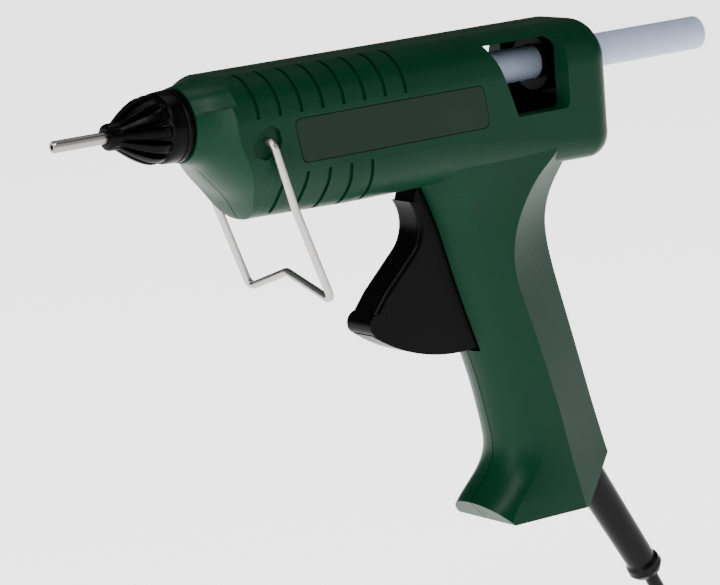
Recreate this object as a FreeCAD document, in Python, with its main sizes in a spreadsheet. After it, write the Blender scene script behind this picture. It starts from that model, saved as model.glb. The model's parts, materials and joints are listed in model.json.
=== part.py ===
import FreeCAD, Part

import math
import os

import Sketcher
from FreeCAD import Placement, Rotation, Vector

# Hot-melt glue gun. Millimetres. The sub-parts are modelled about the barrel axis: X runs from the
# nozzle (-X) to the rear (+X), the left shell is on the -Y side and Z is up. X = 0, Z = 0 is the
# barrel axis above the wire stand's pivot. Every sub-part's Placement then moves the origin to the
# middle of the hand grip, the way the gun is held.

SIZES = {
    # origin: the middle of the grip, seen from the barrel axis
    "grip_x": 106.0, "grip_z": -95.0,
    # glue stick, the standard 11 mm size
    "stick_r": 5.6, "stick_front": 22.0, "stick_rear": 194.0, "stick_clearance": 0.38,
    # barrel of the housing
    "body_half": 20.0, "body_top": 13.4, "body_bottom": -32.0, "body_round": 14.0,
    "rear_x": 139.0, "rear_round": 8.5, "rear_underside_round": 6.0, "wall": 2.5,
    "ring_x": -19.5,
    # flank grooves
    "groove_pitch": 8.0, "groove_wide": 1.3, "groove_deep": 0.8,
    # nozzle
    "tip_x": -63.3, "tube_r": 1.85, "tube_bore": 0.8, "root_r": 3.1, "root_x": -24.0,
    "collar_x": -44.8, "collar_r": 11.15, "collar_base": -19.7, "seal_r": 9.4,
    # melt chamber
    "chamber_r": 8.5, "chamber_front": -14.0, "chamber_rear": 50.3, "passage_r": 2.2,
    "pocket_half": 8.0, "pocket_low": -17.0,
    # trigger
    "pivot_x": 80.0, "pivot_z": -27.0, "sector_r": 61.3, "web_half": 5.0, "rim_half": 6.1, "rim_round": 2.0,
    "boss_r": 6.0, "fork_inner": 9.6, "fork_outer": 12.6, "pin_r": 2.5, "pin_clearance": 0.06,
    # feed carriage
    "carriage_front": 66.5, "carriage_rear": 86.5, "carriage_half": 9.0, "trunnion_r": 2.0,
    # wire stand
    "stand_x": 0.3, "stand_z": -6.7, "wire_r": 1.25, "leg_y": 21.6,
    # cord and strain relief
    "exit_x": 129.8, "exit_z": -136.8, "exit_slope": 58.3, "relief_out": 52.0,
    "seam_half": 0.2, "seam_deep": 0.4, "toe_dot_r": 0.3,
    "cord_r": 2.5, "bench_z": -250.0, "hank_run": 48.0, "hank_r": 20.6, "hank_x": 243.5, "hank_y": 12.0,
    # plug
    "plug_long": 36.0, "plug_wide": 26.0, "plug_thick": 13.0, "plug_pin_r": 2.0, "plug_pin_out": 19.0,
    "plug_pin_apart": 18.6,
}

doc = FreeCAD.newDocument("GlueGun")
sheet = doc.addObject("Spreadsheet::Sheet", "Sizes")
for row, (alias, value) in enumerate(SIZES.items(), start=1):
    sheet.set(f"A{row}", alias)
    sheet.set(f"B{row}", str(value))
    sheet.setAlias(f"B{row}", alias)
doc.recompute()


def size(expression):
    """The value of an expression of the sheet's sizes, such as "Sizes.wall * 2"."""
    return float(sheet.evalExpression(expression))


WALL = size("Sizes.wall")
HALF = size("Sizes.body_half")
TOP = size("Sizes.body_top")
BOTTOM = size("Sizes.body_bottom")
ROUND = size("Sizes.body_round")
PIVOT = Vector(size("Sizes.pivot_x"), 0, size("Sizes.pivot_z"))
FAR = 400.0
PARTS = {}


def keep(name, item):
    """Give a sub-part its Label and the Placement that puts the origin at the grip."""
    item.Label = name
    item.setExpression("Placement.Base.x", "-Sizes.grip_x")
    item.setExpression("Placement.Base.z", "-Sizes.grip_z")
    PARTS[name] = item


def keep_shape(name, shape):
    """A sub-part whose shape is made by Part's own functions from the sheet's sizes."""
    item = doc.addObject("Part::Feature", name)
    item.Shape = shape
    keep(name, item)


def new_body(name):
    body = doc.addObject("PartDesign::Body", name)
    keep(name, body)
    return body


def new_sketch(body, name, role="XZ_Plane"):
    """A sketch on one of the body's own origin planes."""
    sketch = body.newObject("Sketcher::SketchObject", name)
    plane = [f for f in body.Origin.OriginFeatures if f.Role == role][0]
    sketch.AttachmentSupport = [(plane, "")]
    sketch.MapMode = "FlatFace"
    return sketch


def outline(sketch, corners, arcs=None):
    """A closed outline. Corners are pairs of numbers or expressions; arcs maps a side to its middle."""
    arcs = arcs or {}
    places = [(size(str(a)), size(str(b))) for a, b in corners]
    count = len(places)
    first = sketch.GeometryCount
    for i, place in enumerate(places):
        start = Vector(place[0], place[1], 0)
        end = Vector(places[(i + 1) % count][0], places[(i + 1) % count][1], 0)
        if i in arcs:
            sketch.addGeometry(Part.Arc(start, Vector(arcs[i][0], arcs[i][1], 0), end))
        else:
            sketch.addGeometry(Part.LineSegment(start, end))
    if arcs:
        return
    for i in range(count):
        sketch.addConstraint(Sketcher.Constraint("Coincident", first + i, 2, first + (i + 1) % count, 1))
    for i, corner in enumerate(corners):
        for kind, value, expression in zip(("DistanceX", "DistanceY"), places[i], corner):
            index = sketch.addConstraint(Sketcher.Constraint(kind, -1, 1, first + i, 1, value))
            if isinstance(expression, str):
                sketch.setExpression(f"Constraints[{index}]", expression)


def turned(name, corners):
    """A body turned about the barrel axis from an outline of (x, radius) corners."""
    body = new_body(name)
    sketch = new_sketch(body, name + "_profile")
    outline(sketch, corners)
    turn = body.newObject("PartDesign::Revolution", name + "_turn")
    turn.Profile = sketch
    turn.ReferenceAxis = (sketch, ["H_Axis"])
    turn.Angle = 360
    return body


def pad(body, sketch, length, name):
    """Pad a sketch on both sides of the middle plane."""
    feature = body.newObject("PartDesign::Pad", name)
    feature.Profile = sketch
    feature.SideType = "Symmetric"
    feature.setExpression("Length", length)
    return feature


def pocket(body, sketch, length, name):
    """Cut a sketch through on both sides of the middle plane."""
    feature = body.newObject("PartDesign::Pocket", name)
    feature.Profile = sketch
    feature.SideType = "Symmetric"
    feature.setExpression("Length", length)
    return feature


def box(x, y, z):
    """A plain block from its (low, high) limits on each axis."""
    return Part.makeBox(x[1] - x[0], y[1] - y[0], z[1] - z[0], Vector(x[0], y[0], z[0]))


def cylinder_y(x, z, radius, y):
    """A cylinder across the gun, from y[0] to y[1]."""
    return Part.makeCylinder(radius, y[1] - y[0], Vector(x, y[0], z), Vector(0, 1, 0))


def prism_y(corners, y):
    """A side-view outline of (x, z) corners carried from y[0] to y[1]."""
    points = [Vector(x, y[0], z) for x, z in corners]
    face = Part.Face(Part.makePolygon(points + points[:1]))
    return face.extrude(Vector(0, y[1] - y[0], 0))


def both_sides(shape):
    """The shape and its mirror image across the middle plane."""
    return shape.fuse(shape.mirror(Vector(0, 0, 0), Vector(0, 1, 0)))


def round_edges(shape, radius, wanted):
    """Fillet the edges whose middle point passes the test."""
    edges = [e for e in shape.Edges if wanted(e)]
    return shape.makeFillet(radius, edges)


# ---------------------------------------------------------------------------- housing

ROUND_CORNER = 1 - math.sqrt(0.5)


def corner_curve(start, corner, end, x, cut):
    """A smooth corner from start to end, passing the given share of the way off the sharp corner."""
    points = [Vector(x, y, z) for y, z in (
        start, (corner[0] + (start[0] + end[0] - 2 * corner[0]) * cut,
                corner[1] + (start[1] + end[1] - 2 * corner[1]) * cut), end)]
    leave = Vector(0, corner[0] - start[0], corner[1] - start[1]).normalize()
    arrive = Vector(0, end[0] - corner[0], end[1] - corner[1]).normalize()
    curve = Part.BSplineCurve()
    curve.interpolate(Points=points, InitialTangent=leave, FinalTangent=arrive)
    return curve.toShape()


def barrel_section(x, half, top, bottom, top_round, low_deep, low_wide, low_cut):
    """A level-topped section across the barrel with round upper and freely shaped lower corners."""
    a, b, c = top_round, low_deep, low_wide
    corners = [
        ((-half, top - a), (-half, top), (-half + a, top), ROUND_CORNER),
        ((half - a, top), (half, top), (half, top - a), ROUND_CORNER),
        ((half, bottom + b), (half, bottom), (half - c, bottom), low_cut),
        ((-half + c, bottom), (-half, bottom), (-half, bottom + b), low_cut)]
    edges = []
    for i, (start, corner, end, cut) in enumerate(corners):
        edges.append(corner_curve(start, corner, end, x, cut))
        following = corners[(i + 1) % 4][0]
        edges.append(Part.LineSegment(Vector(x, *end), Vector(x, *following)).toShape())
    return Part.Wire(edges)


# Stations along the flared nose: x, half-width, height above and depth below the barrel axis.
# The nose is where these growing ovals lie inside the barrel's own section.
NOSE = [
    (-19.5, 11.6, 11.6, 11.6),
    (-16.5, 13.6, 12.0, 12.8),
    (-13.5, 16.4, 12.5, 14.5),
    (-10.5, 20.4, 13.1, 17.5),
    (-7.0, 26.0, 14.0, 21.4),
    (-3.0, 33.5, 15.2, 26.4),
    (2.5, 43.0, 17.0, 33.4),
    (8.0, 51.0, 19.0, 40.0),
]


def nose_solid(inset):
    """The flared nose: a loft of ovals that grow from the collar's round seat."""
    rings = []
    for x, half, above, below in NOSE:
        halves = []
        for rise, turn in ((above, 1), (below, -1)):
            places = [(math.cos(math.radians(a * turn)), math.sin(math.radians(a * turn)))
                      for a in range(0, 181, 20)]
            points = [Vector(x, (half - inset) * c * turn, (rise - inset) * abs(s) * turn)
                      for c, s in places]
            curve = Part.BSplineCurve()
            curve.interpolate(Points=points, InitialTangent=Vector(0, 0, turn),
                              FinalTangent=Vector(0, 0, -turn))
            halves.append(curve.toShape())
        rings.append(Part.Wire(halves))
    return Part.makeLoft(rings, True, False)


def barrel_solid(inset):
    """The barrel and its flared nose, pulled in by inset on every side."""
    top, bottom, half = TOP - inset, BOTTOM + inset, HALF - inset
    rounding = ROUND - inset
    rear = size("Sizes.rear_x") - inset
    low_rear = size("Sizes.rear_underside_round") - min(inset, 2.0)
    nose_x, start = size("Sizes.ring_x"), NOSE[-2][0]
    plain = (half, top, bottom, rounding)
    slim = (rounding + 8.0, rounding + 5.0, 0.35)
    sections = [
        barrel_section(nose_x - 4.0, *plain, *slim),
        barrel_section(start, *plain, *slim),
        barrel_section(34.0, *plain, rounding, rounding, ROUND_CORNER),
        barrel_section(70.0, *plain, rounding, rounding, ROUND_CORNER),
        barrel_section(rear, *plain, low_rear, low_rear, ROUND_CORNER)]
    tube = Part.makeLoft(sections, True, True)
    tube = round_edges(tube, size("Sizes.rear_round") - inset,
                       lambda e: e.BoundBox.XMin > rear - 0.01)
    front = tube.common(nose_solid(inset))
    return front.fuse(tube.common(box((start, FAR), (-FAR, FAR), (-FAR, FAR))))


# Level sections down the grip: z, front, side half-width, crease x, back corner x, back half-width
GRIP = [
    (-14.0, 58.0, 19.2, 101.0, 124.0, 14.0),
    (-32.0, 66.0, 18.9, 107.0, 121.5, 12.0),
    (-40.0, 69.3, 17.9, 100.5, 117.0, 10.2),
    (-50.0, 72.8, 17.0, 95.8, 114.4, 9.2),
    (-62.0, 76.2, 16.4, 94.6, 115.6, 9.0),
    (-80.0, 82.0, 16.0, 99.8, 120.2, 9.0),
    (-100.0, 88.6, 15.9, 106.0, 125.6, 9.0),
    (-117.0, 92.4, 15.9, 110.6, 130.2, 9.0),
    (-124.5, 93.0, 16.0, 112.2, 132.4, 9.0),
    (-131.0, 90.4, 16.2, 113.6, 134.2, 9.2),
    (-137.0, 84.9, 16.5, 115.0, 136.0, 9.4),
    (-143.0, 79.4, 16.8, 116.4, 137.8, 9.6),
    (-150.0, 74.0, 17.0, 118.0, 139.8, 10.0),
]
FRONT_DEEP = 10.0
BACK_BULGE = 3.0


def grip_section(z, front, side, crease, back, back_half, inset):
    """A level section of the grip: round front, flat sides and a tapered, faceted back."""
    front, back = front + inset, back - inset
    side, back_half = side - inset, back_half - inset * 0.7
    shoulder_x, shoulder_y = front + FRONT_DEEP, side - 2.5
    place = [Vector(x, y, z) for x, y in (
        (shoulder_x, -shoulder_y), (shoulder_x, shoulder_y), (crease, side), (back, back_half),
        (back, -back_half), (crease, -side))]
    edges = [
        Part.Arc(place[0], Vector(front, 0, z), place[1]).toShape(),
        Part.LineSegment(place[1], place[2]).toShape(),
        Part.LineSegment(place[2], place[3]).toShape(),
        Part.Arc(place[3], Vector(back + BACK_BULGE, 0, z), place[4]).toShape(),
        Part.LineSegment(place[4], place[5]).toShape(),
        Part.LineSegment(place[5], place[0]).toShape(),
    ]
    return Part.Wire(edges)


def grip_solid(inset):
    """The hand grip, cut off along the foot's underside and its slanted heel and toe."""
    loft = Part.makeLoft([grip_section(*row, inset) for row in GRIP], True, False)
    foot = [(40, -10), (160, -10), (160, -111), (136.8 + 3, -128.2), (119, -147), (88.5, -147),
            (81.0, -139.2), (40, -120)]
    if inset:
        foot = [(40, -10), (160, -10), (160, -96), (136.8, -124.5), (117.5, -144.5), (91.5, -144.5),
                (84.6, -137.0), (40, -114)]
    kept = prism_y(foot, (-40, 40))
    return loft.common(kept)


def window_outline(margin):
    """The window over the stick, its front edge leaning as the body's lines do."""
    return [(88.6 - margin, 10.0 + margin), (116.2, 10.0 + margin), (119.3 + margin, 6.5),
            (119.3 + margin, -13.6 - margin), (97.6 - margin, -13.6 - margin), (94.6 - margin, -5.0),
            (91.6 - margin, 3.0)]


def badge_outline(margin):
    return [(10.0 - margin, -1.5 + margin), (83.6 + margin, -1.5 + margin),
            (85.4 + margin, -14.9 - margin), (12.4 - margin, -14.9 - margin)]


PIVOT_RECESS = [(1.2, -1.9), (4.2, -3.6), (4.9, -7.0), (3.6, -10.2), (-1.4, -12.2), (-5.2, -10.6),
                (-5.8, -7.6), (-3.0, -3.6)]

# Centres of the dots on the toe, along the line where the slanted toe meets the middle of the foot
TOE_DOTS_FROM = (82.0, -3.2, -140.2)
TOE_DOTS_STEP = (0.9, 0.0, -0.93)

# Screw places in the side view: nose, in front of the trigger, rear, top of grip, foot
SCREWS = [(3.0, -24.0), (54.5, -24.0), (128.5, -21.0), (107.5, -62.0), (99.5, -134.5)]
HEAD_Y = 9.0
SLOT_HALF = size("Sizes.web_half") + 0.6


def grooves(outer):
    """The short grooves across both flanks: eight above the badge and five below it."""
    pitch = size("Sizes.groove_pitch")
    wide = size("Sizes.groove_wide")
    core = barrel_solid(size("Sizes.groove_deep"))
    strips = []
    for i in range(8):
        strips.append(box((-3.6 + i * pitch, -2.3 + i * pitch), (7.5, 30), (0.6, 30)))
    for i in range(5):
        strips.append(box((5.4 + i * pitch, 5.4 + i * pitch + wide), (8.0, 30), (-40, -17.8)))
    tools = Part.makeCompound(strips).common(outer).cut(core)
    return both_sides(tools)


def seam(outer):
    """The shallow line where the two shells meet, all round the outside."""
    half, deep = size("Sizes.seam_half"), size("Sizes.seam_deep")
    core = barrel_solid(deep).fuse(grip_solid(deep))
    return outer.common(box((-FAR, FAR), (-half, half), (-FAR, FAR))).cut(core)


def toe_dots():
    """A row of small moulded dots on the slanted toe of the foot."""
    dots = []
    for i in range(5):
        place = Vector(*TOE_DOTS_FROM) + Vector(*TOE_DOTS_STEP) * i
        dots.append(Part.makeSphere(size("Sizes.toe_dot_r"), place))
    return Part.makeCompound(dots)


def housing():
    """Both shells, cut from one hollow body along the middle plane."""
    outer = barrel_solid(0.0).fuse(grip_solid(0.0))
    inner = barrel_solid(WALL).fuse(grip_solid(WALL))
    shell = outer.cut(inner)
    # solid places: screw bosses, trigger pin bosses, window frame, stick guide seat, spring post
    solid = [cylinder_y(x, z, 3.6, (-30, 30)) for x, z in SCREWS]
    frame = prism_y(window_outline(1.6), (13.4, 30))
    solid.append(both_sides(frame))
    pin_seat = cylinder_y(PIVOT.x, PIVOT.z, 4.6, (13.0, 30))
    solid.append(both_sides(pin_seat))
    seat = Part.makeCylinder(12.0, 9.0, Vector(128.0, 0, 0), Vector(1, 0, 0))
    solid.append(seat.cut(Part.makeCylinder(9.7, 9.0, Vector(128.0, 0, 0), Vector(1, 0, 0))))
    solid.append(cylinder_y(114.0, -18.0, 1.6, (-30, 0)))
    shell = shell.fuse(Part.makeCompound(solid).common(outer))
    # openings
    window = prism_y(window_outline(0.0), (8, 40))
    window = round_edges(window, 2.2, lambda e: e.BoundBox.YLength > 5 and e.BoundBox.XMin > 110)
    cuts = [both_sides(window)]
    cuts.append(prism_y([(60, -26), (100, -26), (100, -89.5), (60, -89.5)],
                        (-SLOT_HALF, SLOT_HALF)).cut(cylinder_y(107.5, -62.0, 3.7, (-30, 30))))
    cuts.append(Part.makeCylinder(size("Sizes.seal_r") + 0.3, 12, Vector(-26, 0, 0), Vector(1, 0, 0)))
    cuts.append(Part.makeCylinder(8.2, 10, Vector(133, 0, 0), Vector(1, 0, 0)))
    badge = prism_y(badge_outline(0.25), (HALF - 0.8, 40))
    badge = round_edges(badge, 2.2, lambda e: e.BoundBox.YLength > 5)
    cuts.append(both_sides(badge))
    recess = prism_y(PIVOT_RECESS, (HALF - 1.2, 40))
    cuts.append(both_sides(round_edges(recess, 0.8, lambda e: e.BoundBox.YLength > 5)))
    cuts.append(cylinder_y(size("Sizes.stand_x"), size("Sizes.stand_z"),
                           size("Sizes.wire_r") + 0.08, (-40, 40)))
    cuts.append(cylinder_y(PIVOT.x, PIVOT.z, size("Sizes.pin_r"), (-16.6, 16.6)))
    cuts.append(relief_solid(0.25))
    for x, z in SCREWS:
        cuts.append(cylinder_y(x, z, 1.7, (0, 30)))
        cuts.append(cylinder_y(x, z, 3.3, (HEAD_Y, 40)))
        cuts.append(cylinder_y(x, z, 1.3, (-10.5, 0)))
    cuts.append(grooves(outer))
    cuts.append(seam(outer))
    cuts.append(toe_dots())
    for tool in cuts:
        shell = shell.cut(tool)
    left = shell.common(box((-FAR, FAR), (-FAR, 0), (-FAR, FAR)))
    right = shell.common(box((-FAR, FAR), (0, FAR), (-FAR, FAR)))
    return left, right


def housing_screws():
    """Five pan-head screws, driven from the right side."""
    screws = []
    for x, z in SCREWS:
        head = round_edges(cylinder_y(x, z, 2.9, (HEAD_Y, HEAD_Y + 2.2)), 0.9,
                           lambda e: e.BoundBox.YMin > HEAD_Y + 2.1)
        shank = cylinder_y(x, z, 1.3, (-10.0, HEAD_Y + 0.1))
        slot = box((x - 2.0, x + 2.0), (HEAD_Y + 1.1, HEAD_Y + 3), (z - 0.35, z + 0.35))
        cross = box((x - 0.35, x + 0.35), (HEAD_Y + 1.1, HEAD_Y + 3), (z - 2.0, z + 2.0))
        screws.append(head.fuse(shank).cut(slot).cut(cross))
    return Part.makeCompound(screws)


# ---------------------------------------------------------------------------- cord and its fittings

SLOPE = math.radians(size("Sizes.exit_slope"))
EXIT = Vector(size("Sizes.exit_x"), 0, size("Sizes.exit_z"))
ALONG = Vector(math.cos(SLOPE), 0, -math.sin(SLOPE))


def turned_along(corners, start, direction):
    """A solid turned about any line, from (distance, radius) corners."""
    points = [Vector(r, 0, d) for d, r in corners]
    face = Part.Face(Part.makePolygon(points + points[:1]))
    solid = face.revolve(Vector(0, 0, 0), Vector(0, 0, 1), 360)
    return solid.transformed(Placement(start, Rotation(Vector(0, 0, 1), direction)).toMatrix(), True)


def relief_solid(margin):
    """The strain relief: a collar behind the wall, a tapering sleeve and an end bead."""
    out = size("Sizes.relief_out")
    bore = 0.0 if margin else size("Sizes.cord_r") + 0.02
    corners = [(-10.0, bore), (-10.0, 7.0 + margin), (-4.6, 7.0 + margin), (-4.6, 5.8 + margin),
               (8.0, 5.8 + margin), (out - 6.0, 5.15 + margin), (out - 4.5, 6.0 + margin),
               (out - 2.0, 6.2 + margin), (out, 5.0 + margin), (out, bore)]
    return turned_along(corners, EXIT, ALONG)


def bent_tube(points, radius, fraction=0.45):
    """A tube along straight runs joined by tangent arcs; also gives the arcs' radii."""
    points = [Vector(*p) for p in points]
    edges, radii, last = [], [], points[0]
    for before, corner, after in zip(points, points[1:], points[2:]):
        one = (before - corner).normalize()
        two = (after - corner).normalize()
        turn = math.pi - one.getAngle(two)
        trim = fraction * min((before - corner).Length, (after - corner).Length)
        arc_r = trim / math.tan(turn / 2)
        radii.append(arc_r)
        start, end = corner + one * trim, corner + two * trim
        inward = (one + two).normalize()
        middle = corner + inward * (arc_r / math.cos(turn / 2) - arc_r)
        edges.append(Part.LineSegment(last, start).toShape())
        edges.append(Part.Arc(start, middle, end).toShape())
        last = end
    edges.append(Part.LineSegment(last, points[-1]).toShape())
    path = Part.Wire(edges)
    ring = Part.Wire([Part.Circle(points[0], points[1] - points[0], radius).toShape()])
    tube = path.makePipeShell([ring], True, False)
    return tube, radii, path.Length


BENCH = size("Sizes.bench_z")
CORD_R = size("Sizes.cord_r")
RELIEF_END = EXIT + ALONG * size("Sizes.relief_out")

# The hank: turns with two straight runs along X and a half round at each end, three side by side and
# two deep. HANK is its middle on the bench, HANK_RUN a straight run and HANK_R the middle turn's end.
HANK = Vector(size("Sizes.hank_x"), size("Sizes.hank_y"), BENCH)
HANK_RUN = size("Sizes.hank_run")
HANK_R = size("Sizes.hank_r")
TURN_APART = 2 * CORD_R + 0.1
HANK_HIGH = 2 * TURN_APART
HANK_HALF_WIDE = 1.5 * TURN_APART

# The free stretch of the cord, from the strain relief's end down to the bench and along the hank
CORD_ROUTE = [
    (RELIEF_END.x, 0, RELIEF_END.z),
    (163.6, 0.0, -192.4),
    (169.3, -0.3, -205.2),
    (173.7, -1.2, -218.6),
    (180.9, -3.0, -230.8),
    (191.8, -6.4, -239.9),
    (205.4, -10.6, -245.2),
    (HANK.x - HANK_RUN / 2, HANK.y - HANK_R - TURN_APART, BENCH + CORD_R),
]


def stadium(radius, high, up=0.0):
    """A flat block with half-round ends, lying along X round the hank's middle."""
    base = Vector(HANK.x, HANK.y, HANK.z + up)
    half = Vector(HANK_RUN / 2, 0, 0)
    block_between = box((base.x - half.x, base.x + half.x), (base.y - radius, base.y + radius),
                        (base.z, base.z + high))
    ends = [Part.makeCylinder(radius, high, base + half), Part.makeCylinder(radius, high, base - half)]
    return block_between.fuse(ends).removeSplitter()


def cord_parts():
    tube, radii, length = bent_tube(CORD_ROUTE, CORD_R)
    print("cord tube: length %.1f, radii %s" % (length, [round(r, 1) for r in radii]))
    print("cord tube: volume %.1f, section x length %.1f" % (tube.Volume, math.pi * CORD_R ** 2 * length))
    keep_shape("cord", tube)
    hank = stadium(HANK_R + HANK_HALF_WIDE, HANK_HIGH).cut(stadium(HANK_R - HANK_HALF_WIDE, HANK_HIGH))
    hank = round_edges(hank, 2.4, lambda e: e.Length > 30)
    # the tie wraps the turns of the run away from the gun's middle plane
    tie_x, tie_y = HANK.x - 10.0, HANK.y + HANK_R
    reach = HANK_HALF_WIDE + 0.9
    band = box((tie_x - 6.0, tie_x + 6.0), (tie_y - reach, tie_y + reach), (BENCH + 0.01, BENCH + HANK_HIGH + 0.9))
    band = round_edges(band, 2.8, lambda e: e.BoundBox.XLength > 11.9)
    keep_shape("cord_coil", hank)
    keep_shape("cord_tie", band.cut(hank))


# The plug lies on the hank, and the lead leaves the outer top turn, rounds the rear end and goes in
PLUG_BACK = HANK.x + 21.0
PLUG_Y = HANK.y + 14.4
PLUG_Z = BENCH + HANK_HIGH + size("Sizes.plug_thick") / 2 + 1.0
PLUG_LEAD = [
    (HANK.x + 2.0, HANK.y - 25.2, BENCH + 9.4),
    (HANK.x + 14.0, HANK.y - 24.9, BENCH + 12.7),
    (HANK.x + 30.0, HANK.y - 21.5, BENCH + 13.6),
    (HANK.x + 41.0, HANK.y - 9.5, BENCH + 14.2),
    (HANK.x + 42.0, HANK.y + 5.0, BENCH + 15.4),
    (HANK.x + 33.5, HANK.y + 14.4, PLUG_Z),
    (PLUG_BACK, PLUG_Y, PLUG_Z),
]


def plug_outline(x, half_wide, half_thick):
    """The plug's section at one place along it: flat above and below, round at the sides."""
    flat = half_wide - half_thick
    corner = [Vector(x, PLUG_Y + a * flat, PLUG_Z + b * half_thick) for a, b in ((-1, 1), (1, 1), (1, -1), (-1, -1))]
    return Part.Wire([
        Part.LineSegment(corner[0], corner[1]).toShape(),
        Part.Arc(corner[1], Vector(x, PLUG_Y + half_wide, PLUG_Z), corner[2]).toShape(),
        Part.LineSegment(corner[2], corner[3]).toShape(),
        Part.Arc(corner[3], Vector(x, PLUG_Y - half_wide, PLUG_Z), corner[0]).toShape()])


def plug_parts():
    """A flat two-pin plug lying flat on the hank, its pins pointing along -X."""
    long, wide, thick = (size("Sizes.plug_" + k) for k in ("long", "wide", "thick"))
    front = PLUG_BACK - long
    body = Part.makeLoft([
        plug_outline(front, wide / 2, thick / 2),
        plug_outline(front + 9, wide / 2, thick / 2),
        plug_outline(front + 20, wide / 2 - 2, thick / 2),
        plug_outline(PLUG_BACK - 6, 6.5, thick / 2 - 1.2),
        plug_outline(PLUG_BACK, 4.4, 4.2)], True, True)
    pins = []
    for side in (-1, 1):
        centre = Vector(front + 0.5, PLUG_Y + side * size("Sizes.plug_pin_apart") / 2, PLUG_Z)
        pin = Part.makeCylinder(size("Sizes.plug_pin_r"), size("Sizes.plug_pin_out") + 0.5, centre,
                                Vector(-1, 0, 0))
        pins.append(round_edges(pin, 0.9, lambda e: e.BoundBox.XMax < front - 10))
    pins = Part.makeCompound(pins)
    keep_shape("plug_body", body.cut(pins))
    keep_shape("plug_pins", pins)
    lead, radii, _ = bent_tube(PLUG_LEAD, CORD_R)
    print("plug lead: radii %s" % [round(r, 1) for r in radii])
    keep_shape("plug_lead", lead)

# ---------------------------------------------------------------------------- nozzle and melt chamber

def nozzle_parts():
    """The steel tube with its root, the fluted collar round it and the seal behind the collar."""
    turned("nozzle_tube", [
        ("Sizes.tip_x", "Sizes.tube_bore"), ("Sizes.tip_x", "Sizes.tube_r - 0.35"),
        ("Sizes.tip_x + 0.6", "Sizes.tube_r"), (-45.3, "Sizes.tube_r"), (-45.3, "Sizes.tube_r - 0.1"),
        (-30.0, "Sizes.tube_r - 0.1"), (-28.0, "Sizes.root_r"),
        (-10.3, "Sizes.root_r"), (-10.3, "Sizes.tube_bore + 0.3"), (-52.0, "Sizes.tube_bore + 0.3"),
        (-52.0, "Sizes.tube_bore")])
    collar = turned("nozzle_collar", [
        ("Sizes.collar_x", "Sizes.tube_r + 0.15"), ("Sizes.collar_x", 2.9),
        ("Sizes.collar_x + 1.2", 3.9), (-37.0, 7.6), (-31.0, 9.7), (-27.2, 10.2), (-26.6, 10.7),
        (-22.4, "Sizes.collar_r"), ("Sizes.collar_base", "Sizes.collar_r"),
        ("Sizes.collar_base", 8.6), (-27.0, 8.2), (-34.0, 5.4), (-38.0, 3.4), (-41.0, 3.2),
        (-41.0, "Sizes.tube_r + 0.15")])
    doc.recompute()
    sketch = new_sketch(collar, "flute_outline")
    outline(sketch, [(-43.6, 3.3), (-38.0, 6.0), (-33.0, 8.2), (-28.4, 9.2), (-28.4, 11.5),
                     (-43.6, 11.5)])
    flute = pocket(collar, sketch, "1.7", "flute")
    doc.recompute()
    flutes = collar.newObject("PartDesign::PolarPattern", "flutes")
    flutes.Originals = [flute]
    flutes.Axis = ([f for f in collar.Origin.OriginFeatures if f.Role == "X_Axis"][0], [""])
    flutes.Angle = 360
    flutes.Occurrences = 12
    collar.Tip = flutes
    turned("nozzle_seal", [
        (-19.4, 4.8), (-19.4, "Sizes.seal_r"), (-15.6, "Sizes.seal_r"), (-15.6, 4.8)])


BORE = "Sizes.stick_r + Sizes.stick_clearance"


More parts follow.
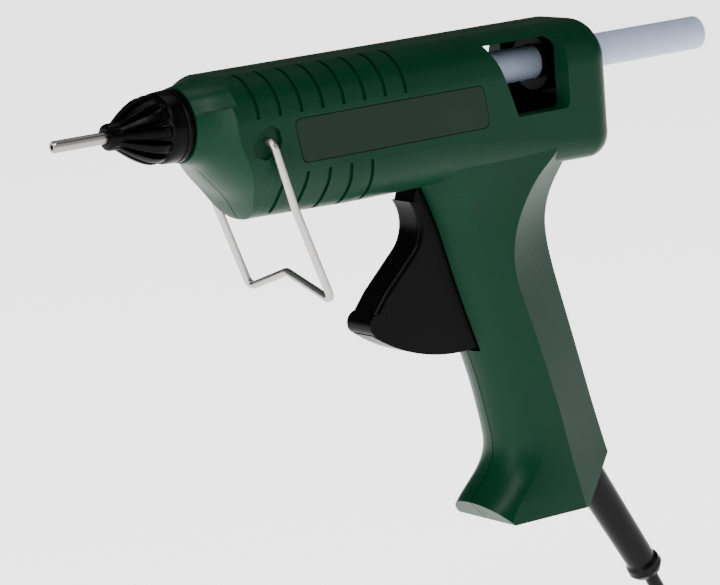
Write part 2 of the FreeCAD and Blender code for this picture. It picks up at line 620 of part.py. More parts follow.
def chamber_parts():
    """The aluminium melt chamber with its heater, fuse, cradles and silicone inlet."""
    chamber = turned("melt_chamber", [
        (-17.0, "Sizes.root_r + 0.02"), (-17.0, 4.6), ("Sizes.chamber_front", 4.6),
        ("Sizes.chamber_front + 3", "Sizes.chamber_r"), ("Sizes.chamber_rear", "Sizes.chamber_r"),
        ("Sizes.chamber_rear", BORE), (9.0, BORE), (2.0, "Sizes.passage_r"),
        (-10.0, "Sizes.passage_r"), (-10.0, "Sizes.root_r + 0.02")])
    doc.recompute()
    sketch = new_sketch(chamber, "heater_pocket")
    outline(sketch, [(6.0, -6.2), (46.0, -6.2), (46.0, "Sizes.pocket_low"),
                     (6.0, "Sizes.pocket_low")])
    pad(chamber, sketch, "Sizes.pocket_half * 2", "heater_block")
    doc.recompute()
    sketch = new_sketch(chamber, "heater_slot")
    outline(sketch, [(8.0, -11.8), (60.0, -11.8), (60.0, -15.2), (8.0, -15.2)])
    pocket(chamber, sketch, "Sizes.pocket_half * 2 - 3.4", "slot")
    doc.recompute()
    sketch = new_sketch(chamber, "bore_outline")
    outline(sketch, [(9.0, 0.0), (60.0, 0.0), (60.0, BORE), (9.0, BORE)])
    bore = chamber.newObject("PartDesign::Groove", "bore")
    bore.Profile = sketch
    bore.ReferenceAxis = (sketch, ["H_Axis"])
    bore.Angle = 360

    block("ptc_heater", (9.5, -6.0, -14.65), (33.0, 12.0, 2.3))
    strips = [box((9.0, 51.5), (-5.0, -1.2), (-12.25, -11.9)),
              box((9.0, 51.5), (1.2, 5.0), (-15.1, -14.75))]
    keep_shape("heater_electrodes", Part.makeCompound(strips))
    fuse = Part.makeCylinder(1.8, 12.0, Vector(20, 10.2, -12.0), Vector(1, 0, 0))
    legs = Part.makeCylinder(0.4, 26.0, Vector(13, 10.2, -12.0), Vector(1, 0, 0))
    keep_shape("thermal_fuse", fuse.fuse(legs))

    hole = Part.makeCylinder(size("Sizes.chamber_r") + 0.05, 3.0, Vector(0, 0, 0), Vector(1, 0, 0))
    disc = Part.makeCylinder(10.6, 3.0, Vector(0, 0, 0), Vector(1, 0, 0))
    cradle = disc.fuse(box((0, 3.0), (-16.2, 16.2), (-4.0, 3.0))).cut(hole)
    cradles = [cradle.transformed(Placement(Vector(x, 0, 0), Rotation()).toMatrix(), True)
               for x in (1.0, 47.0)]
    keep_shape("chamber_cradles", Part.makeCompound(cradles))
    turned("inlet_sleeve", [
        (50.4, BORE), (50.4, 8.3), (54.0, 8.6), (58.4, 7.4), (58.4, BORE)])
    turned("sleeve_clamp", [(51.6, 8.75), (51.6, 9.9), (53.4, 9.9), (53.4, 8.75)])
    ball = doc.addObject("Part::Sphere", "check_ball")
    ball.Radius = 1.5
    place_block(ball, (-7.6, 0.0, 0.0))
    rings = [Part.makeTorus(1.35, 0.3, Vector(-5.6 + 0.5 * i, 0, 0), Vector(1, 0, 0)) for i in range(12)]
    keep_shape("check_spring", rings[0].fuse(rings[1:]))


def place_block(item, corner):
    """Place a primitive at a point given from the barrel axis, and keep it."""
    item.Label = item.Name
    for axis, place, shift in zip("xyz", corner, (" - Sizes.grip_x", "", " - Sizes.grip_z")):
        item.setExpression("Placement.Base." + axis, str(place) + shift)
    PARTS[item.Name] = item


def block(name, corner, lengths):
    """A rectangular block from its lowest corner."""
    item = doc.addObject("Part::Box", name)
    item.Length, item.Width, item.Height = lengths
    place_block(item, corner)


# ---------------------------------------------------------------------------- feed mechanism

CLAMP_PIN = Vector(76.6, 0, -7.6)
CLAMP_PIN_R = 0.8


def carriage_parts():
    """The feed carriage, its stick clamp, the clamp's pin and the carriage's return spring."""
    front, rear = size("Sizes.carriage_front"), size("Sizes.carriage_rear")
    half = size("Sizes.carriage_half")
    bore = size(BORE)
    carriage = box((front, rear), (-half, half), (-half, half))
    carriage = round_edges(carriage, 1.5, lambda e: e.BoundBox.XLength > 10)
    carriage = carriage.fuse(box((rear - 2.6, rear), (-2.5, 2.5), (-19.9, -half + 0.5)))
    carriage = carriage.fuse(cylinder_y(PIVOT.x, 0, size("Sizes.trunnion_r"), (-12.6, 12.6)))
    carriage = carriage.cut(Part.makeCylinder(bore, 60, Vector(front - 1, 0, 0), Vector(1, 0, 0)))
    carriage = carriage.cut(box((68.6, 79.6), (-4.2, 4.2), (-half - 1, 0)))
    carriage = carriage.cut(cylinder_y(CLAMP_PIN.x, CLAMP_PIN.z, CLAMP_PIN_R, (-7.2, 7.2)))
    carriage = carriage.cut(Part.makeCylinder(0.9, 6, Vector(rear - 4, 0, -18.0), Vector(1, 0, 0)))
    keep_shape("feed_carriage", carriage)
    clamp = prism_y([(69.6, -8.2), (70.3, -6.0), (72.2, -6.3), (78.6, -6.3), (78.6, -9.6),
                     (71.0, -10.0)], (-3.8, 3.8))
    clamp = clamp.cut(cylinder_y(CLAMP_PIN.x, CLAMP_PIN.z, CLAMP_PIN_R + 0.06, (-5, 5)))
    keep_shape("stick_clamp", clamp)
    pin = doc.addObject("Part::Cylinder", "clamp_pin")
    pin.Radius = CLAMP_PIN_R
    pin.Height = 14.4
    pin.Placement.Rotation = Rotation(Vector(0, 0, 1), Vector(0, 1, 0))
    place_block(pin, (CLAMP_PIN.x, -7.2, CLAMP_PIN.z))
    coil = Part.makeCylinder(2.5, 22.0, Vector(88.6, 0, -18.0), Vector(1, 0, 0))
    coil = coil.cut(Part.makeCylinder(1.9, 22.0, Vector(88.6, 0, -18.0), Vector(1, 0, 0)))
    hooks = [Part.makeCylinder(0.3, 3.0, Vector(x, 0, -16.2 - 0.3), Vector(1, 0, 0))
             for x in (85.9, 110.3)]
    keep_shape("return_spring", coil.fuse([h.common(box((86.6, 112.2), (-5, 5), (-30, 0))) for h in hooks]))


def arc_point(degrees):
    """A point on the trigger's bottom arc, measured from straight down towards the nozzle."""
    a = math.radians(degrees)
    r = size("Sizes.sector_r")
    return (PIVOT.x - r * math.sin(a), PIVOT.z - r * math.cos(a))


def trigger_parts():
    """The trigger: a sector web with a wide finger rim, its boss and the fork that drives the feed."""
    trigger = new_body("trigger")
    sketch = new_sketch(trigger, "web_outline")
    toe, heel = arc_point(36.0), arc_point(-11.0)
    outline(sketch, [(64.0, -37.6), (62.0, -53.4), (47.5, -67.0), toe, heel, (86.0, -27.0),
                     (80.0, -21.5), (72.0, -25.5), (66.5, -30.5)],
            {0: (65.6, -46.0), 3: arc_point(12.0)})
    pad(trigger, sketch, "Sizes.web_half * 2", "web")
    doc.recompute()
    sketch = new_sketch(trigger, "rim_outline")
    front = [(62.9, -36.6), (61.6, -52.5), (49.3, -63.8), (43.7, -70.5), (45.6, -77.0)]
    outline(sketch, front + [(47.6, -75.4), (50.0, -67.4), (64.0, -53.6), (65.2, -36.8)],
            {0: (65.2, -45.6), 3: (42.6, -74.3), 4: (47.0, -76.6), 7: (67.6, -46.0)})
    pad(trigger, sketch, "Sizes.rim_half * 2", "finger_rim")
    doc.recompute()
    middles = [Vector(65.2, 0, -45.6)]
    middles += [Vector((a[0] + b[0]) / 2, 0, (a[1] + b[1]) / 2) for a, b in zip(front[1:], front[2:4])]
    edges = []
    for i, edge in enumerate(trigger.Tip.Shape.Edges, start=1):
        middle = edge.valueAt((edge.FirstParameter + edge.LastParameter) / 2)
        flat = Vector(middle.x, 0, middle.z)
        if abs(middle.y) > size("Sizes.web_half") + 0.1 and min((flat - m).Length for m in middles) < 1.0:
            edges.append(f"Edge{i}")
    rim = trigger.Tip
    rounded = trigger.newObject("PartDesign::Fillet", "rim_rounding")
    rounded.Base = (rim, edges)
    rounded.setExpression("Radius", "Sizes.rim_round")
    doc.recompute()
    sketch = new_sketch(trigger, "boss_outline")
    circle = sketch.addGeometry(Part.Circle(Vector(PIVOT.x, PIVOT.z, 0), Vector(0, 0, 1), 6.0))
    radius = sketch.addConstraint(Sketcher.Constraint("Radius", circle, 6.0))
    sketch.setExpression(f"Constraints[{radius}]", "Sizes.boss_r")
    pad(trigger, sketch, "Sizes.fork_outer * 2", "boss")
    doc.recompute()
    sketch = new_sketch(trigger, "fork_outline")
    outline(sketch, [(76.0, -27.0), (84.0, -27.0), (84.4, 3.0), (82.35, 3.0), (82.35, -2.7),
                     (77.65, -2.7), (77.65, 3.0), (75.6, 3.0)])
    pad(trigger, sketch, "Sizes.fork_outer * 2", "fork")
    doc.recompute()
    sketch = new_sketch(trigger, "fork_gap")
    outline(sketch, [(60.0, -21.7), (100.0, -21.7), (100.0, 6.0), (60.0, 6.0)])
    pocket(trigger, sketch, "Sizes.fork_inner * 2", "gap")
    doc.recompute()
    sketch = new_sketch(trigger, "pin_hole")
    circle = sketch.addGeometry(Part.Circle(Vector(PIVOT.x, PIVOT.z, 0), Vector(0, 0, 1), 2.6))
    radius = sketch.addConstraint(Sketcher.Constraint("Radius", circle, 2.6))
    sketch.setExpression(f"Constraints[{radius}]", "Sizes.pin_r + Sizes.pin_clearance")
    pocket(trigger, sketch, "60", "pin_bore")
    pin = doc.addObject("Part::Cylinder", "trigger_pin")
    pin.setExpression("Radius", "Sizes.pin_r")
    pin.Height = 33.0
    pin.Placement.Rotation = Rotation(Vector(0, 0, 1), Vector(0, 1, 0))
    place_block(pin, (PIVOT.x, -16.5, PIVOT.z))


def rear_parts():
    """The black guide that the stick enters at the rear, and the glue stick."""
    turned("rear_guide", [
        (120.5, BORE), (120.5, 9.2), (123.0, 9.6), (131.0, 9.6), (133.5, 8.0), (140.4, 8.0),
        (140.4, 7.4), (138.8, BORE)])
    turned("glue_stick", [
        ("Sizes.stick_front", 0.0), ("Sizes.stick_front", 4.4), ("Sizes.stick_front + 2.5", "Sizes.stick_r"),
        ("Sizes.stick_rear - 0.4", "Sizes.stick_r"), ("Sizes.stick_rear", "Sizes.stick_r - 0.4"),
        ("Sizes.stick_rear", 0.0)])
    for name, side in (("left_badge", -1), ("right_badge", 1)):
        half = size("Sizes.body_half")
        low, high = sorted((side * (half - 0.75), side * (half + 0.05)))
        badge = prism_y(badge_outline(0.0), (low, high))
        keep_shape(name, round_edges(badge, 2.1, lambda e: e.BoundBox.YLength > 0.5))


def stand_parts():
    """The wire stand: pivot ends in the shells, two bent legs, and a foot bar with a V in it."""
    x, z, y = (size("Sizes.stand_" + k) for k in ("x", "z")), None, size("Sizes.leg_y")
    x, z = x
    half = [(x, -15.6, z), (x, -y, z), (6.4, -y, -28.0), (17.3, -y, -58.4), (16.6, 0, -51.2)]
    route = half + [(px, -py, pz) for px, py, pz in reversed(half[:-1])]
    keep_shape("wire_stand", wire_path(route, size("Sizes.wire_r"), 2.2))


def wire_path(points, radius, bend):
    """A round wire along straight runs with bends of one radius."""
    points = [Vector(*p) for p in points]
    edges, last = [], points[0]
    for before, corner, after in zip(points, points[1:], points[2:]):
        one = (before - corner).normalize()
        two = (after - corner).normalize()
        turn = math.pi - one.getAngle(two)
        trim = bend * math.tan(turn / 2)
        middle = corner + (one + two).normalize() * (bend / math.cos(turn / 2) - bend)
        start, end = corner + one * trim, corner + two * trim
        edges.append(Part.LineSegment(last, start).toShape())
        edges.append(Part.Arc(start, middle, end).toShape())
        last = end
    edges.append(Part.LineSegment(last, points[-1]).toShape())
    ring = Part.Wire([Part.Circle(points[0], points[1] - points[0], radius).toShape()])
    return Part.Wire(edges).makePipeShell([ring], True, False)


# ---------------------------------------------------------------------------- wiring inside the grip

def grip_parts():
    """The cord's tail and clamp, the terminal block and the leads up to the heater."""
    def inside(distance, y=0.0, off=0.0):
        point = EXIT + ALONG * distance + Vector(ALONG.z, 0, -ALONG.x) * off
        return Vector(point.x, y, point.z)

    tail = Part.makeCylinder(CORD_R, 17.0, inside(-27.0), ALONG)
    keep_shape("cord_tail", tail)
    turn = Placement(inside(-20.0), Rotation(Vector(0, 0, 1), ALONG)).toMatrix()
    bar = box((CORD_R + 0.05, CORD_R + 3.0), (-7.4, 7.4), (-3.0, 3.0))
    bar = round_edges(bar, 1.0, lambda e: e.BoundBox.YLength > 14)
    holes = [Part.makeCylinder(1.4, 20, Vector(0, y, 0), Vector(1, 0, 0)) for y in (-4.9, 4.9)]
    keep_shape("cord_clamp", bar.cut(Part.makeCompound(holes)).transformed(turn, True))
    screws = []
    for y in (-4.9, 4.9):
        head = Part.makeCylinder(2.3, 1.6, Vector(CORD_R + 3.0, y, 0), Vector(1, 0, 0))
        screws.append(head.fuse(Part.makeCylinder(1.3, 9.0, Vector(CORD_R - 5.5, y, 0), Vector(1, 0, 0))))
    keep_shape("clamp_screws", Part.makeCompound(screws).transformed(turn, True))
    block("terminal_block", (97.0, -7.5, -107.0), (11.0, 15.0, 9.0))
    for name, side in (("live_lead", -1), ("neutral_lead", 1)):
        mains = bent_tube([inside(-27.0, side * 1.3), inside(-30.5, side * 1.3), (109.5, side * 2.6, -113.4),
                           (103.0, side * 4.0, -111.6), (103.0, side * 4.0, -107.0)], 0.9)[0]
        keep_shape(name, mains)
    for name, side in (("heater_lead_left", -1), ("heater_lead_right", 1)):
        z = -12.1 if side < 0 else -14.9
        lead = bent_tube([(51.5, side * 3.1, z), (54.2, side * 3.1, z), (58.0, side * 8.5, z),
                          (64.0, side * 14.6, -15.2), (76.0, side * 15.4, -15.6),
                          (88.0, side * 15.2, -19.0), (96.5, side * 13.6, -31.0), (98.5, side * 11.0, -48.0),
                          (100.5, side * 9.8, -66.0), (102.0, side * 9.0, -80.0),
                          (102.5, side * 4.6, -92.0), (102.5, side * 4.6, -98.0)], 0.8)[0]
        keep_shape(name, lead)


left, right = housing()
keep_shape("left_housing", left)
keep_shape("right_housing", right)
keep_shape("housing_screws", housing_screws())
keep_shape("cord_relief", relief_solid(0.0))
cord_parts()
plug_parts()
nozzle_parts()
chamber_parts()
carriage_parts()
trigger_parts()
rear_parts()
stand_parts()
grip_parts()
doc.recompute()
for item in doc.Objects:
    if "Invalid" in item.State or "Error" in item.State:
        raise RuntimeError(item.Name + " failed")
for name, item in PARTS.items():
    if item.Shape.isNull() or not item.Shape.isValid():
        raise RuntimeError(name + " has no valid shape")
os.makedirs("parts", exist_ok=True)
for name, item in PARTS.items():
    print(name, item.Shape.isValid(), item.Shape.BoundBox, len(item.Shape.Solids))
    item.Shape.exportStep(f"parts/{name}.step")
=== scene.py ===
"""Looks of the glue gun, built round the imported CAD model.

Places on the object are in millimetres about the barrel axis, the way part.py gives them, and spot()
turns them into metres in the row frame. The camera and the lights are placed in metres in the row frame.
Bodies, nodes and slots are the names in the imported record.
"""

import json
import math

import bmesh
import bpy
from mathutils import Matrix, Vector


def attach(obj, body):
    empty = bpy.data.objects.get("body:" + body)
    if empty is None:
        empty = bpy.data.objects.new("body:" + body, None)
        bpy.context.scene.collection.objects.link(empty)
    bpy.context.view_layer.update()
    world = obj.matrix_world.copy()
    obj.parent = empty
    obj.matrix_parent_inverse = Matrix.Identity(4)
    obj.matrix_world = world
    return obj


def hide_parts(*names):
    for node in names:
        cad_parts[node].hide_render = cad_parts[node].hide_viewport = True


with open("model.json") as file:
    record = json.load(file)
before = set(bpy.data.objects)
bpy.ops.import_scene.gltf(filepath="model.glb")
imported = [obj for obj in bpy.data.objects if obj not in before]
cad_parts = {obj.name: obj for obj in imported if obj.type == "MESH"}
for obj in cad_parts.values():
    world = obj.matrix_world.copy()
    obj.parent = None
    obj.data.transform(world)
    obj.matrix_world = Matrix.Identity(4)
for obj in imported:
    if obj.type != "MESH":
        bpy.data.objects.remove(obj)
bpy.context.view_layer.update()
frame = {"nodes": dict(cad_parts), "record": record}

# The grip's mount, which is the row frame's origin, in millimetres about the barrel axis
GRIP_X, GRIP_Z = 106.0, -95.0


def spot(x, y, z):
    """A point about the barrel axis, in millimetres, as a point in the row frame, in metres."""
    return Vector((x - GRIP_X, y, z - GRIP_Z)) / 1000


def put_in_scene(name, data):
    """A new object with that data, linked to the scene."""
    item = bpy.data.objects.new(name, data)
    bpy.context.scene.collection.objects.link(item)
    return item


# ---------------------------------------------------------------------------- camera

CAMERA_AZIMUTH = math.radians(-36.58)
CAMERA_ELEVATION = math.radians(11.07)
CAMERA_ROLL = math.radians(4.63)
CAMERA_PLACE = (-0.6439, -0.7842, 0.2232)
CAMERA_LENS = 157.7
CAMERA_NEAR, CAMERA_FAR = 0.01, 50


def add_camera():
    """The camera, turned by its azimuth and elevation and then rolled about its own line of sight."""
    back = Vector((math.sin(CAMERA_AZIMUTH) * math.cos(CAMERA_ELEVATION),
                   -math.cos(CAMERA_AZIMUTH) * math.cos(CAMERA_ELEVATION),
                   math.sin(CAMERA_ELEVATION)))
    level_up = (Vector((0, 0, 1)) - back * back.z).normalized()
    level_right = level_up.cross(back)
    up = level_up * math.cos(CAMERA_ROLL) + level_right * math.sin(CAMERA_ROLL)
    right = up.cross(back)
    turn = Matrix((right, up, back)).transposed()
    data = bpy.data.cameras.new("camera")
    data.lens = CAMERA_LENS
    data.clip_start = CAMERA_NEAR
    data.clip_end = CAMERA_FAR
    camera = put_in_scene("camera", data)
    camera.matrix_world = Matrix.Translation(CAMERA_PLACE) @ turn.to_4x4()
    bpy.context.scene.camera = camera


add_camera()


# ---------------------------------------------------------------------------- materials

MOTTLE_SCALE = 45.0
MOTTLE_FROM, MOTTLE_TO = 0.3, 0.7


def new_material(name):
    """A material with only a Principled shader and an output; also gives its tree and the shader."""
    material = bpy.data.materials.new(name)
    material.use_nodes = True
    tree = material.node_tree
    tree.nodes.clear()
    output = tree.nodes.new("ShaderNodeOutputMaterial")
    shader = tree.nodes.new("ShaderNodeBsdfPrincipled")
    tree.links.new(shader.outputs["BSDF"], output.inputs["Surface"])
    return material, tree, shader


def noise(tree, vector, scale, detail, roughness):
    """A noise texture that reads the given vector."""
    node = tree.nodes.new("ShaderNodeTexNoise")
    node.inputs["Scale"].default_value = scale
    node.inputs["Detail"].default_value = detail
    node.inputs["Roughness"].default_value = roughness
    tree.links.new(vector, node.inputs["Vector"])
    return node.outputs["Fac"]


def scale_color(color, factor):
    """The colour made lighter or darker, with an alpha of 1."""
    return tuple(min(1.0, c * factor) for c in color) + (1.0,)


def moulded(name, color, rough, grain=2600.0, bump=0.00002, mottle=0.12, rough_spread=0.08,
            specular=0.5, stretch=(1, 1, 1)):
    """Plastic or rubber with fine grain in its surface, faint mottling and uneven gloss."""
    material, tree, shader = new_material(name)
    link = tree.links.new
    place = tree.nodes.new("ShaderNodeTexCoord")
    mapping = tree.nodes.new("ShaderNodeMapping")
    mapping.inputs["Scale"].default_value = stretch
    link(place.outputs["Object"], mapping.inputs["Vector"])
    where = mapping.outputs["Vector"]

    cloud = noise(tree, where, MOTTLE_SCALE, 4.0, 0.55)
    ramp = tree.nodes.new("ShaderNodeValToRGB")
    dark, light = ramp.color_ramp.elements
    dark.position, light.position = MOTTLE_FROM, MOTTLE_TO
    dark.color = scale_color(color, 1 - mottle)
    light.color = scale_color(color, 1 + mottle)
    link(cloud, ramp.inputs["Fac"])
    link(ramp.outputs["Color"], shader.inputs["Base Color"])

    gloss = tree.nodes.new("ShaderNodeMapRange")
    gloss.inputs["To Min"].default_value = max(0.02, rough - rough_spread)
    gloss.inputs["To Max"].default_value = min(1.0, rough + rough_spread)
    link(cloud, gloss.inputs["Value"])
    link(gloss.outputs["Result"], shader.inputs["Roughness"])

    relief = tree.nodes.new("ShaderNodeBump")
    relief.inputs["Distance"].default_value = bump
    relief.inputs["Strength"].default_value = 1.0
    link(noise(tree, where, grain, 3.0, 0.6), relief.inputs["Height"])
    link(relief.outputs["Normal"], shader.inputs["Normal"])
    shader.inputs["Specular IOR Level"].default_value = specular
    return material, shader


def metal(name, color, rough, grain=1500.0, stretch=(1, 1, 1), bump=0.000006):
    """Bare metal, with grain that a stretch draws out into fine lines."""
    material, shader = moulded(name, color, rough, grain=grain, bump=bump, mottle=0.08,
                               rough_spread=0.06, stretch=stretch)
    shader.inputs["Metallic"].default_value = 1.0
    return material


def glue_wax():
    """The cloudy, grey-blue translucent wax of a glue stick."""
    material, shader = moulded("glue", (0.29, 0.335, 0.435), 0.38, grain=500.0, bump=0.00003,
                               mottle=0.05)
    shader.inputs["Subsurface Weight"].default_value = 0.6
    shader.inputs["Subsurface Radius"].default_value = (0.004, 0.0045, 0.006)
    shader.inputs["Subsurface Scale"].default_value = 1.0
    return material


# Plastics, rubbers, ceramics and fabrics, by the name of their slot
MOULDED = {
    "housing_green": dict(color=(0.0002, 0.0185, 0.0078), rough=0.38, grain=1500.0, bump=0.00003,
                          mottle=0.08, specular=0.08),
    "black_plastic": dict(color=(0.0010, 0.0009, 0.0012), rough=0.30, grain=1800.0, bump=0.00001,
                          specular=0.04),
    "black_rubber": dict(color=(0.0016, 0.0015, 0.0017), rough=0.30, grain=900.0, bump=0.00001,
                         specular=0.08),
    "badge": dict(color=(0.0030, 0.0110, 0.0070), rough=0.45, grain=2200.0, bump=0.00001,
                  specular=0.10),
    "carriage_plastic": dict(color=(0.012, 0.012, 0.014), rough=0.5),
    "silicone": dict(color=(0.42, 0.06, 0.03), rough=0.62),
    "ceramic": dict(color=(0.06, 0.06, 0.065), rough=0.7),
    "ceramic_white": dict(color=(0.72, 0.69, 0.62), rough=0.6),
    "fuse_tan": dict(color=(0.42, 0.27, 0.14), rough=0.5),
    "brown_wire": dict(color=(0.11, 0.030, 0.012), rough=0.35),
    "blue_wire": dict(color=(0.012, 0.045, 0.24), rough=0.35),
    "glass_sleeve": dict(color=(0.62, 0.60, 0.55), rough=0.85, grain=1200.0, bump=0.0001),
    "tie_black": dict(color=(0.010, 0.010, 0.011), rough=0.9, grain=1400.0, bump=0.0002),
}

# Metals, by the name of their slot
METALS = {
    "nozzle_steel": dict(color=(0.25, 0.24, 0.23), rough=0.32, stretch=(6, 1, 1)),
    "stand_wire": dict(color=(0.34, 0.33, 0.32), rough=0.36),
    "zinc_steel": dict(color=(0.60, 0.60, 0.60), rough=0.35),
    "spring_steel": dict(color=(0.42, 0.42, 0.43), rough=0.3),
    "cast_aluminium": dict(color=(0.55, 0.55, 0.56), rough=0.5, grain=700.0, bump=0.00008),
    "brass_strip": dict(color=(0.78, 0.60, 0.30), rough=0.28),
}


def make_looks():
    """Every slot's material, by the slot's name."""
    looks = {name: moulded(name, **values)[0] for name, values in MOULDED.items()}
    looks.update({name: metal(name, **values) for name, values in METALS.items()})
    looks["glue"] = glue_wax()
    return looks


LOOKS = make_looks()


def dress_cad_nodes():
    """Every CAD node gets the material of its own slot."""
    for part in frame["record"]["subparts"]:
        node = frame["nodes"][part["node"]]
        material = LOOKS[part["material_slot"]]
        if not node.material_slots:
            node.data.materials.append(material)
        for place in node.material_slots:
            place.material = material


dress_cad_nodes()


# ---------------------------------------------------------------------------- cord, hank and lead

CORD_R = 2.5
BENCH = -250.0
HANK_X, HANK_Y = 243.5, 12.0
HANK_RUN = 48.0
HANK_R = 20.6
TURN_APART = 5.1
END_POINTS = 7
LOW = BENCH + CORD_R
NEAR_R, FAR_R = HANK_R - TURN_APART, HANK_R + TURN_APART
OUTER_Y = HANK_Y - FAR_R

# Where the cord climbs from its first layer to its second: shares of a run, and how far it leans inwards
CLIMB_SHARES = (0.3, 0.7)
CLIMB_LEAN = 3.5

RELIEF_END = (157.12, 0.0, -181.04)
CORD_ROUTE = [
    RELIEF_END,
    (163.6, 0.0, -192.4),
    (169.3, -0.3, -205.2),
    (173.7, -1.2, -218.6),
    (180.9, -3.0, -230.8),
    (191.8, -6.4, -239.9),
    (205.4, -10.6, -245.2),
    (HANK_X - HANK_RUN / 2, OUTER_Y, LOW),
]

# From the hank's outer top turn round its rear end and into the back of the plug that lies on it
LEAD_ROUTE = [
    (HANK_X - 12.0, OUTER_Y, LOW + TURN_APART),
    (HANK_X + 14.0, HANK_Y - 25.2, BENCH + 12.7),
    (HANK_X + 28.0, HANK_Y - 23.6, BENCH + 13.4),
    (HANK_X + 40.0, HANK_Y - 15.5, BENCH + 13.9),
    (HANK_X + 45.5, HANK_Y - 4.0, BENCH + 14.6),
    (HANK_X + 43.5, HANK_Y + 8.0, BENCH + 15.6),
    (HANK_X + 34.0, HANK_Y + 14.2, BENCH + 17.5),
    (HANK_X + 21.0, HANK_Y + 14.4, BENCH + 17.6),
]


def hank_points():
    """Control points of six turns round two ends: three side by side on the bench, then three on top."""
    swell = 1 / (0.75 + 0.25 * math.cos(math.pi / (END_POINTS - 1)))
    layers = [(FAR_R, 0), (HANK_R, 0), (NEAR_R, 0), (NEAR_R, 1), (HANK_R, 1), (FAR_R, 1)]
    first_on_top = 3
    points = []
    for turn, (radius, layer) in enumerate(layers):
        if turn == first_on_top:
            for share in CLIMB_SHARES:
                points.append((HANK_X + HANK_RUN * (share - 0.5), HANK_Y - NEAR_R + CLIMB_LEAN,
                               LOW + TURN_APART * share))
        for end in (1, -1):
            for i in range(END_POINTS):
                angle = math.pi * (i / (END_POINTS - 1) - 0.5)
                points.append((HANK_X + end * (HANK_RUN / 2 + radius * swell * math.cos(angle)),
                               HANK_Y + end * radius * swell * math.sin(angle),
                               LOW + TURN_APART * layer))
    return points


def add_cord():
    """The whole cord as one smooth line, from the strain relief to the plug."""
    points = CORD_ROUTE + hank_points() + LEAD_ROUTE
    data = bpy.data.curves.new("cord_line", "CURVE")
    data.dimensions = "3D"
    data.bevel_depth = CORD_R / 1000
    data.bevel_resolution = 6
    data.resolution_u = 8
    data.use_fill_caps = True
    spline = data.splines.new("NURBS")
    spline.points.add(len(points) - 1)
    for place, point in zip(spline.points, points):
        place.co = (*spot(*point), 1.0)
    spline.order_u = 3
    spline.use_endpoint_u = True
    data.materials.append(LOOKS["black_rubber"])
    cord = put_in_scene("cord_line", data)
    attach(cord, "housing")
    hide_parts("cord", "cord_coil", "plug_lead")


add_cord()


# ---------------------------------------------------------------------------- fluted collar

RIBS = 12
STEPS_PER_RIB = 16

# A rib is full where the wave of its cosine is over 0.1, and its flute is deepest where it is under -0.85
FLUTE_BELOW, RIB_ABOVE = -0.85, 0.1
SHARP_ANGLE = math.radians(40)

# Places along the axis with the radius on a rib and in the flute beside it
COLLAR_OUTSIDE = [
    (-44.8, 3.3, 3.3), (-44.5, 3.9, 3.9), (-43.8, 4.1, 4.1), (-41.8, 4.2, 4.1), (-41.0, 4.6, 4.1),
    (-39.5, 5.7, 4.3), (-37.5, 7.1, 4.8), (-35.0, 8.6, 5.7), (-32.5, 9.8, 6.8), (-30.5, 10.4, 7.7),
    (-28.8, 10.5, 8.5), (-27.8, 10.2, 9.2), (-27.2, 10.0, 9.9), (-26.9, 10.6, 10.6), (-26.5, 10.8, 10.8),
    (-24.0, 11.0, 11.0), (-22.7, 11.05, 11.05), (-22.4, 10.8, 10.8), (-22.0, 10.8, 10.8),
    (-21.7, 11.15, 11.15), (-20.0, 11.15, 11.15), (-19.7, 10.9, 10.9),
]

# Places back along the hollow inside, with its radius
COLLAR_INSIDE = [(-19.7, 8.6), (-27.0, 8.2), (-34.0, 5.4), (-38.0, 3.4), (-41.0, 3.2), (-41.0, 2.05),
                 (-44.8, 2.05)]


def collar_mesh():
    """Rounded ribs with deep flutes between them, closed through the hollow."""
    around = RIBS * STEPS_PER_RIB
    bm = bmesh.new()
    loops = []
    for x, rib, flute in COLLAR_OUTSIDE + [(x, r, r) for x, r in COLLAR_INSIDE]:
        loop = []
        for i in range(around):
            angle = 2 * math.pi * i / around
            share = (math.cos(RIBS * angle) - FLUTE_BELOW) / (RIB_ABOVE - FLUTE_BELOW)
            share = min(1.0, max(0.0, share))
            radius = flute + (rib - flute) * share * share * (3 - 2 * share)
            loop.append(bm.verts.new(spot(x, radius * math.cos(angle), radius * math.sin(angle))))
        loops.append(loop)
    for one, two in zip(loops, loops[1:] + loops[:1]):
        for i in range(around):
            j = (i + 1) % around
            bm.faces.new((one[i], one[j], two[j], two[i]))
    bmesh.ops.recalc_face_normals(bm, faces=bm.faces)
    mesh = bpy.data.meshes.new("fluted_collar")
    bm.to_mesh(mesh)
    bm.free()
    return mesh


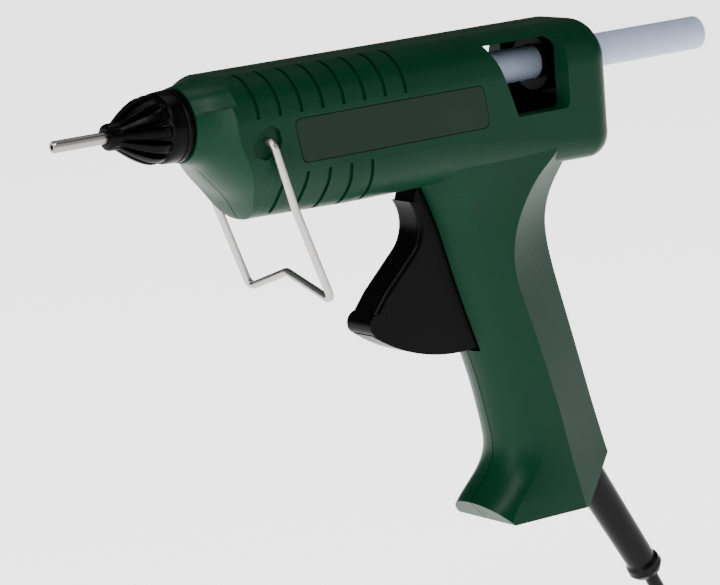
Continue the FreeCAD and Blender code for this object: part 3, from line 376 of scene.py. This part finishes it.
def add_collar():
    """The collar round the nozzle tube."""
    mesh = collar_mesh()
    for face in mesh.polygons:
        face.use_smooth = True
    mesh.set_sharp_from_angle(angle=SHARP_ANGLE)
    mesh.materials.append(LOOKS["black_plastic"])
    collar = put_in_scene("fluted_collar", mesh)
    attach(collar, "housing")
    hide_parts("nozzle_collar")


add_collar()


# ---------------------------------------------------------------------------- stage and light

FLOOR_HALF_WIDE = 6.0
FLOOR_BELOW_BENCH = 0.02
FLOOR_GLOW = 2.6
WORLD_STRENGTH = 0.12

# What the lights point at, and each light's place, the two sides of its panel and its watts
LIT_MIDDLE = Vector((-0.02, 0, 0.03))
LIGHTS = {
    "key": ((-0.9, -0.9, 1.5), (0.6, 0.6), 26),
    "strip": ((-1.0, -0.25, 0.25), (0.25, 0.9), 8),
    "fill": ((0.9, -1.2, 0.7), (1.0, 1.0), 4),
    "overhead": ((0.1, 0.2, 1.6), (1.0, 1.0), 9),
}


def add_floor():
    """A plain white floor just under the cord, which glows a little so that it stays pale."""
    mesh = bpy.data.meshes.new("floor")
    bm = bmesh.new()
    bmesh.ops.create_grid(bm, x_segments=4, y_segments=4, size=FLOOR_HALF_WIDE)
    bm.to_mesh(mesh)
    bm.free()
    material, _, shader = new_material("floor_white")
    shader.inputs["Base Color"].default_value = (0.9, 0.9, 0.9, 1)
    shader.inputs["Roughness"].default_value = 0.9
    shader.inputs["Emission Color"].default_value = (1, 1, 1, 1)
    shader.inputs["Emission Strength"].default_value = FLOOR_GLOW
    mesh.materials.append(material)
    floor = put_in_scene("floor", mesh)
    floor.location = spot(GRIP_X, 0, BENCH - FLOOR_BELOW_BENCH)


def add_lights():
    """A faint white surround and four soft panels."""
    world = bpy.data.worlds.new("studio")
    bpy.context.scene.world = world
    world.use_nodes = True
    surround = world.node_tree.nodes["Background"]
    surround.inputs["Color"].default_value = (1, 1, 1, 1)
    surround.inputs["Strength"].default_value = WORLD_STRENGTH
    for name, (place, sides, watts) in LIGHTS.items():
        data = bpy.data.lights.new(name, "AREA")
        data.shape = "RECTANGLE"
        data.size, data.size_y = sides
        data.energy = watts
        light = put_in_scene(name, data)
        light.location = place
        light.rotation_euler = (Vector(place) - LIT_MIDDLE).to_track_quat("Z", "Y").to_euler()


add_floor()
add_lights()
